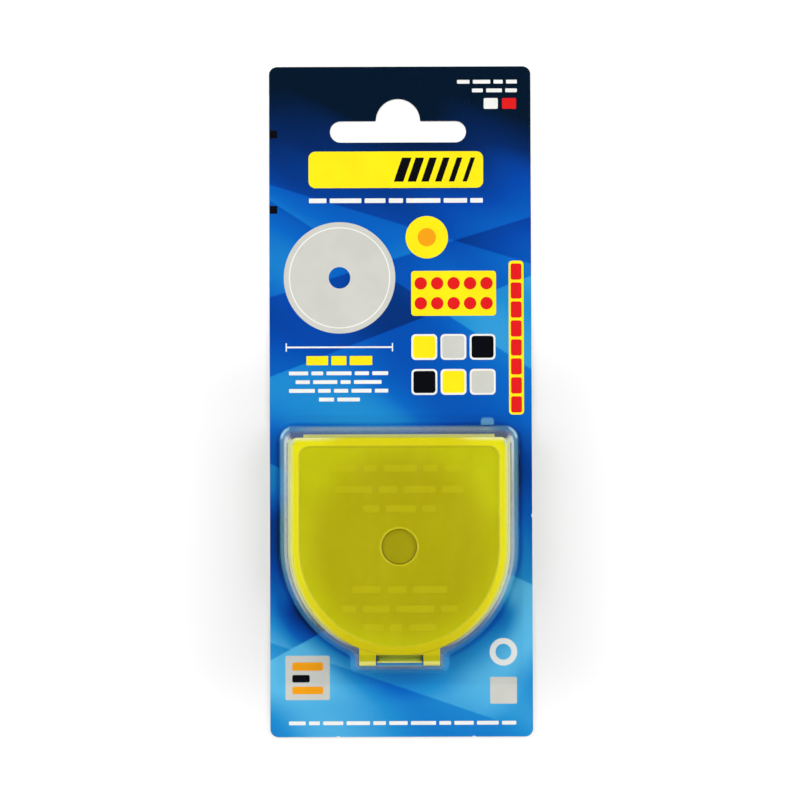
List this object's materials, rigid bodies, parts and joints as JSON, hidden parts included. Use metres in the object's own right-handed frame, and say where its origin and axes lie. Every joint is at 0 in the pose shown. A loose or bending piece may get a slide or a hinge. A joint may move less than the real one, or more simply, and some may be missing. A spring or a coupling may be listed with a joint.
{
  "type": "carded blister pack of rotary cutter blades",
  "caption": "Hang card with a clear moulded blister that holds a shut, hinged plastic case of round cutting blades.",
  "frame": {"origin": "middle of the card's plain back face, which the pack lies on", "axes": "+X across the card, to the right seen from the front; +Y along the card, towards the hang hole; +Z out of the printed face"},
  "size_m": [0.063, 0.161, 0.0083],
  "materials": {
    "printed_card": "gloss varnish over print on the front, bare board on the back",
    "clear_film": "clear thermoformed sheet",
    "yellow_plastic": "satin, translucent",
    "blade_steel": "ground, oiled"
  },
  "bodies": {
    "root": {"backing_card": "printed_card", "blister": "clear_film", "blade_case": "yellow_plastic", "blade_01": "blade_steel", "blade_02": "blade_steel", "blade_03": "blade_steel", "blade_04": "blade_steel", "blade_05": "blade_steel", "blade_06": "blade_steel", "blade_07": "blade_steel", "blade_08": "blade_steel", "blade_09": "blade_steel", "blade_10": "blade_steel"}
  },
  "joints": []
}
